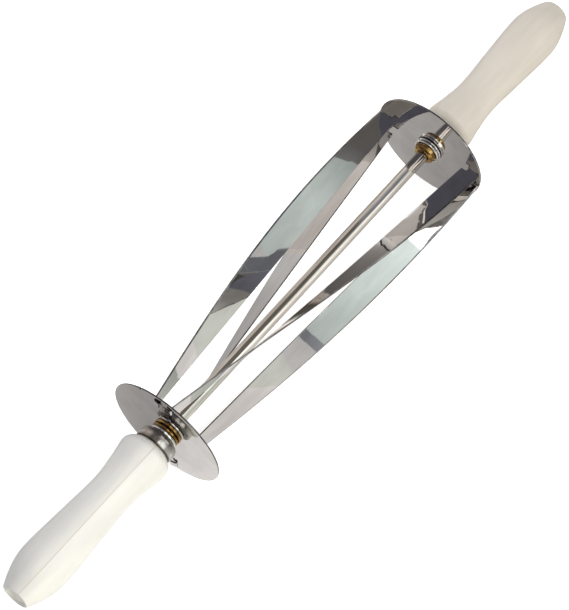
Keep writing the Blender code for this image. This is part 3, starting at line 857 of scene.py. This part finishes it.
# On spheres round the object: distance in metres, corners' azimuth and elevation, tones and tint
farCards = {
    "wallFoot": (7.0, ((-20, -1), (68, -1), (68, 6), (-20, 13.5)), (0.92, 0.80, 0.72, 0.80), "plain"),
    "wallLow": (7.0, ((-20, 13.5), (68, 6), (68, 30), (-20, 33)), (0.76, 0.80, 0.88, 1.12), "green"),
    "wallHigh": (7.0, ((-20, 33), (28, 31.6), (28, 63), (-20, 63)), (1.10, 1.06, 1.45, 1.42), "green"),
    "wallSide": (7.0, ((28, 31.6), (71.5, 30), (71.5, 50), (28, 56)), (1.06, 0.80, 0.50, 0.88), "green"),
    "wallShade": (7.0, ((68, -1), (82, -1), (82, 38), (71.5, 38)), (0.85, 0.40, 0.30, 0.40), "plain"),
    "shadeTop": (7.0, ((71.5, 38), (82, 38), (82, 55), (71.5, 52)), (0.27, 0.18, 0.13, 0.22), "plain"),
    "darkRight": (7.0, ((82, -1), (140.5, -1), (140.5, 62), (82, 62)), (0.16, 0.16, 0.15, 0.15), "warm"),
    "softSide": (6.8, ((122, 37), (140.5, 37), (140.5, 54), (122, 54)), (0.17, 0.80, 0.50, 0.16), "warm"),
    "sideGlow": (6.8, ((130, 8), (139.4, 8), (139.4, 30), (130, 30)), (1.25, 1.25, 1.25, 1.25), "warm"),
    "lamp": (6.8, ((10.5, 62), (28, 60), (24, 75.5), (11, 63.4)), (4.0, 4.0, 4.0, 4.0), "plain"),
    "topRight": (7.2, ((26, 44), (180, 44), (180, 76), (26, 76)), (0.16, 0.15, 0.20, 0.20), "warm"),
    "topLeft": (7.2, ((180, 60), (340, 60), (340, 76), (180, 76)), (0.42, 0.42, 0.42, 0.42), "warm"),
    "topFront": (7.2, ((-20, 56), (26, 56), (26, 78), (-20, 78)), (0.52, 0.46, 0.33, 0.36), "plain"),
    "topCap": (7.0, ((-20, 76), (340, 76), (340, 90), (-20, 90)), (0.26, 0.40, 0.30, 0.26), "warm"),
    "frontBand": (6.6, ((3, 10.3), (10.4, 8.3), (10.4, 12), (3, 14)), (0.40, 0.30, 0.30, 0.46), "blue"),
    "gapTop": (6.4, ((34.5, 12), (38.6, 12), (39.0, 18), (34.5, 18)), (0.20, 0.21, 0.20, 0.20), "blue"),
    "gapMiddle": (6.4, ((34.5, 5), (40.2, 5), (38.6, 12), (34.5, 12)), (0.20, 0.22, 0.21, 0.20), "blue"),
    "gapLow": (6.4, ((34.5, -1), (42.5, -1), (40.2, 5), (34.5, 5)), (0.21, 0.24, 0.22, 0.20), "blue"),
    "backWall": (7.0, ((140.5, -1), (200, -1), (200, 44), (139, 44)), (0.62, 0.82, 0.80, 0.92), "warm"),
    "backTop": (7.0, ((140.5, 44), (200, 44), (200, 62), (140.5, 62)), (0.74, 0.56, 0.15, 0.15), "warm"),
    "darkLeft": (7.0, ((200, -1), (340, -1), (340, 62), (200, 62)), (0.20, 0.14, 0.20, 0.24), "night"),
    "behindCamera": (6.6, ((285, 50), (338, 50), (338, 76), (285, 76)), (2.4, 2.4, 2.4, 2.4), "plain"),
    "softBox": (6.5, ((17.5, 0), (38, 2), (38, 34), (18.5, 53)), (1.5, 1.2, 1.9, 2.6), "plain"),
    "leftSoftBox": (6.5, ((322, 16), (344, 16), (344, 44), (322, 44)), (3.0, 3.0, 3.0, 3.0), "plain"),
}
# Close by, corners in mm: over the cup's front, and past the far disc
nearCards = {
    "cupSoftBox": (
        ((-110, -400, 165), (-30, -400, 165), (-30, -400, 460), (-110, -400, 460)),
        (2.2, 2.2, 2.2, 2.2), "plain",
    ),
    "sideBoard": (
        ((250, -200, 228), (250, 25, 201), (250, 25, 360), (250, -200, 360)),
        (0.38, 0.31, 0.38, 0.36), "night",
    ),
    "sideStep": (
        ((250, 25, 201), (250, 110, 174), (250, 110, 360), (250, 25, 360)),
        (0.54, 0.64, 0.62, 0.57), "plain",
    ),
    "sideSheet": (
        ((250, 110, 166), (250, 230, 70), (250, 230, 320), (250, 110, 320)),
        (0.70, 1.56, 0.70, 0.58), "plain",
    ),
}
# Lying over the floor: height in mm, corners' X and Y in mm. The floor is darker behind a line under the cage,
# and darkest close to the object: painted shadow of the object, which only the steel sees. The card near the
# left end is held above the lower blades, so that only the upper ones reflect it.
floorCards = {
    "frontFar": (
        0.3, ((-6000, -6000), (6000, -6000), (1500, -800), (-1500, -800)),
        (0.86, 0.86, 0.94, 0.94), "ivory",
    ),
    "frontNear": (
        0.3, ((-1500, -800), (1500, -800), (900, -173), (-900, 150)),
        (0.92, 0.92, 0.99, 0.99), "ivory",
    ),
    # lighter in front, darker towards the back: painted shadow under the cage
    "underCage": (
        0.4, ((-190, -42), (200, -112), (200, -47), (-190, 22.6)),
        (1.18, 1.03, 0.60, 0.96), "rose",
    ),
    # painted shadow under the blades' left end
    "nearEndShadow": (20.0, ((-101, -25), (-68, -27), (-64, -14), (-101, -4)), (0.78, 0.52, 0.48, 0.60), "ivory"),
    # painted shadow behind the cage, lightening away from it
    "backNearShadow": (
        0.3, ((-900, 150), (900, -173), (900, -60), (-900, 260)),
        (0.40, 0.42, 0.76, 0.76), "rose",
    ),
    "backMid": (
        0.3, ((-900, 260), (900, -60), (1500, 500), (-1500, 500)),
        (0.76, 0.76, 0.80, 0.80), "plain",
    ),
    "backFar": (
        0.3, ((-1500, 500), (1500, 500), (6000, 6000), (-6000, 6000)),
        (0.80, 0.80, 0.80, 0.80), "warm",
    ),
    "gapFoot": (
        0.5, ((3400, -4945), (4000, -4365), (420, -360), (312, -453)),
        (0.20, 0.20, 0.22, 0.22), "blue",
    ),
    "darkStreak": (0.5, ((36, 46), (87, 44), (420, 420), (300, 470)), (0.11, 0.16, 0.62, 0.54), "warm"),
}


def glowMaterial(name):
    # shines with the colour stored at each point of the card
    material = bpy.data.materials.new(name)
    material.use_nodes = True
    tree = material.node_tree
    tree.nodes.clear()
    stored = addNode(tree, "Attribute", attribute_name="tone")
    glow = addNode(tree, "Emission", {"Color": stored.outputs["Color"], "Strength": 1.0})
    addNode(tree, "OutputMaterial", {"Surface": glow.outputs["Emission"]})
    return material


def makeCard(name, place, corners, tones, tint):
    # a sheet between four corners; place turns a corner pair into a point
    bm = bmesh.new()
    bmesh.ops.create_grid(bm, x_segments=cardSteps[0], y_segments=cardSteps[1], size=1)
    low, right, high, left = [Vector(corner) for corner in corners]
    colours = []
    for vert in bm.verts:
        u, v = (vert.co.x + 1) / 2, (vert.co.y + 1) / 2
        tone = (tones[0] * (1 - u) + tones[1] * u) * (1 - v) + (tones[3] * (1 - u) + tones[2] * u) * v
        colours += [tone * channel for channel in cardTints[tint]] + [1.0]
        vert.co = place(low.lerp(right, u).lerp(left.lerp(high, u), v))
    mesh = bpy.data.meshes.new(name)
    bm.to_mesh(mesh)
    bm.free()
    mesh.color_attributes.new("tone", "FLOAT_COLOR", "POINT").data.foreach_set("color", colours)
    mesh.materials.append(cardGlow)
    card = bpy.data.objects.new(name, mesh)
    card.visible_camera = False
    card.visible_diffuse = False
    card.visible_shadow = False
    card.visible_transmission = False
    scene.collection.objects.link(card)


cardGlow = glowMaterial("cardGlow")
for name, (distance, *row) in farCards.items():
    makeCard(name, lambda corner: direction(*corner) * distance, *row)
for name, row in nearCards.items():
    makeCard(name, lambda corner: corner * mm, *row)
for name, (height, *row) in floorCards.items():
    makeCard(name, lambda corner: Vector((*(corner * mm), floorLevel + height * mm)), *row)
print("stage lit")

cameraSettings = {
    "location": (-0.59286, -0.47501, 1.3252), "aim": (-0.01496, 0.00210, -0.00583),
    "lens": 147.31, "roll": -0.739,
}
cameraData = bpy.data.cameras.new("studioCamera")
cameraData.lens = cameraSettings["lens"]
cameraData.sensor_width = 36
camera = bpy.data.objects.new("studioCamera", cameraData)
scene.collection.objects.link(camera)
camera.location = cameraSettings["location"]
lookBack = Vector(cameraSettings["location"]) - Vector(cameraSettings["aim"])
camera.rotation_mode = "QUATERNION"
camera.rotation_quaternion = (
    Matrix.Rotation(math.radians(cameraSettings["roll"]), 3, lookBack.normalized()).to_quaternion()
    @ lookBack.to_track_quat("Z", "Y")
)
scene.camera = camera
scene.view_settings.view_transform = "Standard"
print("camera set")
